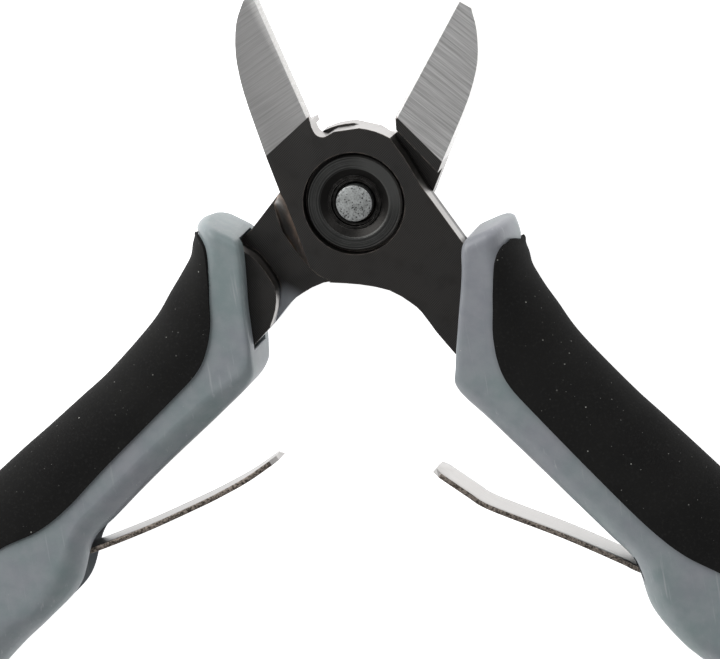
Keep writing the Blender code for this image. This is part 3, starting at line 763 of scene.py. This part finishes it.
def placed(points, side_name, line_name):
    """Plan points of one line, with the nose stretched up the arm and the grip leaning to the right."""
    share = NOSE_REACH[side_name] / (NOSE_Y - NOSE_FOOT)
    right = Vector((math.cos(OPEN_ANGLE), -math.sin(OPEN_ANGLE))) * SIDES[side_name]
    moved = []
    for x, y in points:
        lean = read_table(LEAN[side_name][line_name], y)
        moved.append(Vector((x, y + share * max(0.0, y - NOSE_FOOT))) + right * lean)
    return moved


def grip_sections(side_name):
    inner = placed([station[0] for station in GRIP_STATIONS], side_name, "inner")
    outer = placed([station[1] for station in GRIP_STATIONS], side_name, "outer")
    depth = [Vector((half, chamfer)) for _, _, half, chamfer in GRIP_STATIONS]
    return list(zip(*(through(points, SECTIONS_PER_SPAN) for points in (inner, outer, depth))))


def pad_range(inner, outer, edge, outer_edge):
    """Where the pad starts and ends across one section, as shares of its width."""
    start = crossing(inner, outer, edge)
    end = crossing(inner, outer, outer_edge)
    if start is None:
        return 1.0, 1.0
    if end is None or end < start:
        end = 1.0
    return start, end


def loft_grip(side_name):
    """The grip's whole outer form as a closed mesh, and the faces that belong to the pad."""
    edge = through(placed(PAD_EDGE, side_name, "edge"), 8)
    outer_edge = through(placed(PAD_OUTER_EDGE, side_name, "outer"), 8)
    rings = []
    for inner, outer, (half, chamfer) in grip_sections(side_name):
        pad_from, pad_to = pad_range(inner, outer, edge, outer_edge)
        front = half_section(inner, outer, min(half, GRIP_HALF), chamfer, pad_from, pad_to)
        across = (outer - inner).normalized()
        section = front + [(u, -v) for u, v in front[-2:0:-1]]
        ring = [Vector((*(inner + across * u), MID_Z + v)) for u, v in section]
        rise = (NOSE_Y - outer.y) / SAG_START
        fall = (SAG_END_Y - outer.y) / (SAG_END_Y - NOSE_Y - SAG_START)
        sag = PAD_SAG * max(0.0, min(rise, fall))
        for point, (u, v) in zip(ring, section):
            outer_share = max(0.0, u / (outer - inner).length - 0.6) / 0.4
            point.y -= sag * outer_share * (1 - max(v, -0.2 * half) / half)
        rings.append(ring)
    bm, number = loft(rings)
    size = len(rings[0])
    pad_layer = bm.faces.layers.int.new("pad")
    pad_start = WALL_POINTS + STRIP_POINTS
    for face in bm.faces:
        spots = [min(vert[number], size - vert[number]) for vert in face.verts]
        inside = pad_start <= min(spots) and max(spots) <= pad_start + PAD_POINTS
        face[pad_layer] = int(len(spots) == 4 and inside)
    bmesh.ops.remove_doubles(bm, verts=bm.verts, dist=0.002)
    bmesh.ops.recalc_face_normals(bm, faces=bm.faces)
    bm.normal_update()
    return bm, pad_layer


# %% Cut the shell and lift the pad
PAD_DEPTH = 0.6             # depth of the recess in the shell
PAD_LIFT = 0.05             # how far the pad stands proud of the shell
PAD_ROUND = 0.13
HOLDER_ROOM_HALF = 5.2      # half heights of the room for the spring holder and of the leaf's slot
SLOT_HALF = 3.9


def moved_along_normals(verts, distance):
    for vert in verts:
        vert.co += vert.normal * distance


def extruded_verts(bm, faces, keep):
    made = bmesh.ops.extrude_face_region(bm, geom=faces, use_keep_orig=keep)["geom"]
    return [item for item in made if isinstance(item, bmesh.types.BMVert)]


def sink_pad_recess(bm, pad_layer):
    """Lowers the pad's area on the shell."""
    area = [face for face in bm.faces if face[pad_layer]]
    moved_along_normals(extruded_verts(bm, area, False), -PAD_DEPTH)


def lift_pad(bm, pad_layer):
    """Keeps only the pad's faces, thickens them and rounds their rim."""
    others = [face for face in bm.faces if not face[pad_layer]]
    bmesh.ops.delete(bm, geom=others, context="FACES")
    bm.normal_update()
    under = bm.verts[:]
    top = extruded_verts(bm, bm.faces[:], True)
    moved_along_normals(under, 0.1 - PAD_DEPTH)
    cap = set(top)
    cap_faces = [face for face in bm.faces if set(face.verts) <= cap]
    bmesh.ops.inset_region(bm, faces=cap_faces, thickness=PAD_ROUND, depth=PAD_LIFT,
                           use_even_offset=False, use_boundary=True)


def tang_room():
    """The pocket that the tang fills, open at the grip's mouth."""
    wide = 0.25
    outer = [(-3.0, -7.5), (11.9 + wide, -9.0), (12.3 + wide, -12.7), (13.9 + wide, -30.0),
             (14.9 + wide, -44.0), (15.8 + wide, -50.4)]
    inner = [(12.0, -51.5), (10.6 - wide, -46.2), (6.2, -34.4), (4.3, -28.4), (3.6, -25.9),
             (-3.0, -22.0)]
    return prism(outer + inner, -HEAD_THICK - wide, wide)


def box_room(x_range, y_range, half):
    left, right = x_range
    low, high = y_range
    corners = [(left, low), (right, low), (right, high), (left, high)]
    return prism(corners, MID_Z - half, MID_Z + half)


def make_grip(side_name):
    side = SIDES[side_name]
    opened = turn_open(side)
    shell_mesh, pad_layer = loft_grip(side_name)
    pad_mesh, second_layer = loft_grip(side_name)
    sink_pad_recess(shell_mesh, pad_layer)
    shell = finish_mesh(side_name + "_shell", shell_mesh, opened, shell_material, 32)
    ramp_plan = [(7.5, -61.0), (7.5, -57.2), (11.3, -57.2), (14.0, -60.4)]
    end_x = 15.9 if side > 0 else 14.7
    # Known fault: the first room below is not cut from the right shell, so the right holder
    # overlaps the plastic there.
    rooms = [tang_room(),
             box_room((14.7, 20.1), (-72.0, -62.4), HOLDER_ROOM_HALF),
             box_room((end_x, 20.1), (-75.4, -71.9), HOLDER_ROOM_HALF),
             box_room((8.0, 18.9), (-74.6, -60.2), SLOT_HALF),
             prism(ramp_plan, MID_Z - SLOT_HALF, MID_Z + SLOT_HALF)]
    cutters = [finish_mesh("room", room, opened, shell_material) for room in rooms]
    cut_away(shell, cutters)
    shell.data.set_sharp_from_angle(angle=math.radians(32))
    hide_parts(side_name + "_grip_shell")
    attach(shell, ARM_OF[side_name])

    lift_pad(pad_mesh, second_layer)
    pad = finish_mesh(side_name + "_pad", pad_mesh, opened, pad_material, 40)
    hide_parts(side_name + "_grip_pad")
    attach(pad, ARM_OF[side_name])
    counts = len(shell.data.polygons), len(pad.data.polygons)
    print(side_name, "grip: shell and pad faces", counts)


for side_name in SIDES:
    make_grip(side_name)

# %% [markdown]
# ## The leaf springs
# A leaf is one strip of spring steel: an eye round the holder's pin, a straight run and a short
# kinked tip. Rings of eight points follow its path, four on the front of the strip and four on the
# back, and the same loft as the grips joins them.

# %% Leaf springs
LEAF_HINGE = (16.4, -66.5)
LEAF_EYE_R = 1.3
EYE_STEPS = 30
LEAF_RUN = {
    "right": [(14.9, -65.2), (13.7, -63.9), (12.4, -62.3), (6.6, -55.9), (0.4, -49.7), (-2.2, -46.9),
              (-3.5, -44.8), (-6.6, -39.7)],
    "left": [(15.0, -65.7), (13.8, -65.3), (12.2, -64.2), (6.3, -57.4), (0.8, -50.3), (-1.5, -47.1),
             (-3.9, -43.4), (-6.3, -38.8)],
}


def leaf_line(side_name):
    centre_x, centre_y = LEAF_HINGE
    eye = []
    for step in range(EYE_STEPS + 1):
        angle = math.radians(-20 - 210 * step / EYE_STEPS)
        eye.append(Vector((centre_x + LEAF_EYE_R * math.cos(angle),
                           centre_y + LEAF_EYE_R * math.sin(angle))))
    return eye + through(LEAF_RUN[side_name], 8)


def make_leaf(side_name):
    line = leaf_line(side_name)
    tip = line[-1]
    line = [point for point in line[:-1] if (point - tip).length > 1.6] + [tip]
    half = LEAF_WIDE / 2
    rows = (-half, 0.9 - half, half - 0.9, half)
    rings = []
    for before, point, after in zip([line[0]] + line, line, line[1:] + [line[-1]]):
        run = (after - before).normalized()
        out = Vector((-run.y, run.x)) * LEAF_THICK / 2
        front = [Vector((*(point + out), MID_Z + z)) for z in rows]
        back = [Vector((*(point - out), MID_Z + z)) for z in reversed(rows)]
        rings.append(front + back)
    for corner in (0, 3, 4, 7):
        rings[-1][corner] -= Vector((*run, 0)) * 1.1
    bm, _ = loft(rings)
    bmesh.ops.recalc_face_normals(bm, faces=bm.faces)
    soften(bm, sharp_edges(bm, 50), 0.08, 2)
    leaf = finish_mesh(side_name + "_leaf", bm, turn_open(SIDES[side_name]), spring_steel)
    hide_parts(side_name + "_leaf_spring")
    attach(leaf, side_name + "_leaf")
    print(side_name, "leaf:", len(leaf.data.polygons), "faces")


for side_name in SIDES:
    make_leaf(side_name)

# %% [markdown]
# ## Small hidden pieces
# The holders and the cross pins are mostly inside the grips. Rounded copies of the CAD solids are
# enough for them, in their own finishes.

# %% Holders and pins
for side_name in SIDES:
    rounded_copy(side_name + "_spring_holder", side_name + "_holder_block", holder_material, 0.25,
                 side_name + "_holder", 3)
    rounded_copy(side_name + "_leaf_pin", side_name + "_holder_pin", screw_steel, 0.12,
                 side_name + "_holder")
    rounded_copy(side_name + "_tang_pin", side_name + "_cross_pin", screw_steel, 0.2, ARM_OF[side_name])

# %% [markdown]
# ## Floor, light and camera
# The floor is plain white and the light comes from the sides, so that the flat front of the tool,
# which looks at the camera, stays dark while every side wall picks up a bright band. The lens is long
# and far away, and looks down a little from the tip side and the right.

# %% Floor
def make_floor():
    bm = bmesh.new()
    bmesh.ops.create_grid(bm, x_segments=1, y_segments=1, size=1500.0)
    bmesh.ops.translate(bm, verts=bm.verts, vec=(0, 0, -GRIP_HALF + MID_Z - 0.3))
    material, tree, shader, place = start_material("floor_white", 0.9)
    mottle = use_group(tree, mottle_group, Vector=place, Scale=4.0)
    colour = blend_colour(tree, mottle, (0.93, 0.93, 0.93, 1), (0.95, 0.95, 0.95, 1))
    tree.links.new(colour, shader.inputs["Base Color"])
    shader.inputs["Emission Color"].default_value = (1, 1, 1, 1)
    shader.inputs["Emission Strength"].default_value = 0.9
    floor = finish_mesh("floor", bm, Matrix.Scale(MM, 4), material)


make_floor()


# %% Lights
def area_light(name, place, aim, size, power):
    data = bpy.data.lights.new(name, "AREA")
    data.shape = "RECTANGLE"
    data.size, data.size_y = size
    data.energy = power
    light = bpy.data.objects.new(name, data)
    bpy.context.scene.collection.objects.link(light)
    light.location = place
    light.rotation_euler = (Vector(aim) - Vector(place)).to_track_quat("-Z", "Y").to_euler()


def set_sky(strength):
    """Dark overhead, bright round the horizon, and brighter on the left than on the right."""
    world = bpy.data.worlds.new("studio")
    world.use_nodes = True
    tree = world.node_tree
    place = add(tree, "ShaderNodeTexCoord").outputs["Generated"]
    split = add(tree, "ShaderNodeSeparateXYZ", {0: place})
    low = ramp(tree, split.outputs[2], 0.65, 0.15)
    across = ramp(tree, split.outputs[0], -0.7, 0.7)
    side = blend_colour(tree, across, (1.15, 1.15, 1.15, 1), (0.34, 0.34, 0.35, 1))
    colour = blend_colour(tree, low, (0.33, 0.335, 0.34, 1), side)
    tree.links.new(colour, tree.nodes["Background"].inputs["Color"])
    tree.nodes["Background"].inputs["Strength"].default_value = strength
    bpy.context.scene.world = world


set_sky(0.85)
area_light("key", (0.40, 0.42, 0.42), (0, 0, 0), (0.35, 0.35), 1.0)
area_light("left_fill", (-0.36, 0.24, 0.36), (-0.02, -0.02, 0), (0.45, 0.45), 2.6)

# %% Camera
PIVOT_TO_AIM = Vector((0.9, -18.2, 0.0)) * MM
VIEW_SLOPE = (0.18, 0.20)   # how far the camera moves right and to the tips, per unit of height
CAMERA_RANGE = 1.4
IMAGE_WIDTH = 720
IMAGE_SCALE = 7.02          # how much of that width one millimetre of the tool takes up


def make_camera():
    data = bpy.data.cameras.new("camera")
    data.sensor_width = 36.0
    data.lens = IMAGE_SCALE / MM * CAMERA_RANGE * data.sensor_width / IMAGE_WIDTH
    data.clip_start = 0.05
    data.clip_end = 20.0
    camera = bpy.data.objects.new("camera", data)
    bpy.context.scene.collection.objects.link(camera)
    towards = Vector((*VIEW_SLOPE, 1.0)).normalized()
    camera.location = PIVOT_TO_AIM + towards * CAMERA_RANGE
    side = Vector((0, 1, 0)).cross(towards).normalized()
    up = towards.cross(side)
    camera.rotation_euler = Matrix((side, up, towards)).transposed().to_euler()
    bpy.context.scene.camera = camera


make_camera()
bpy.context.scene.view_settings.view_transform = "Standard"
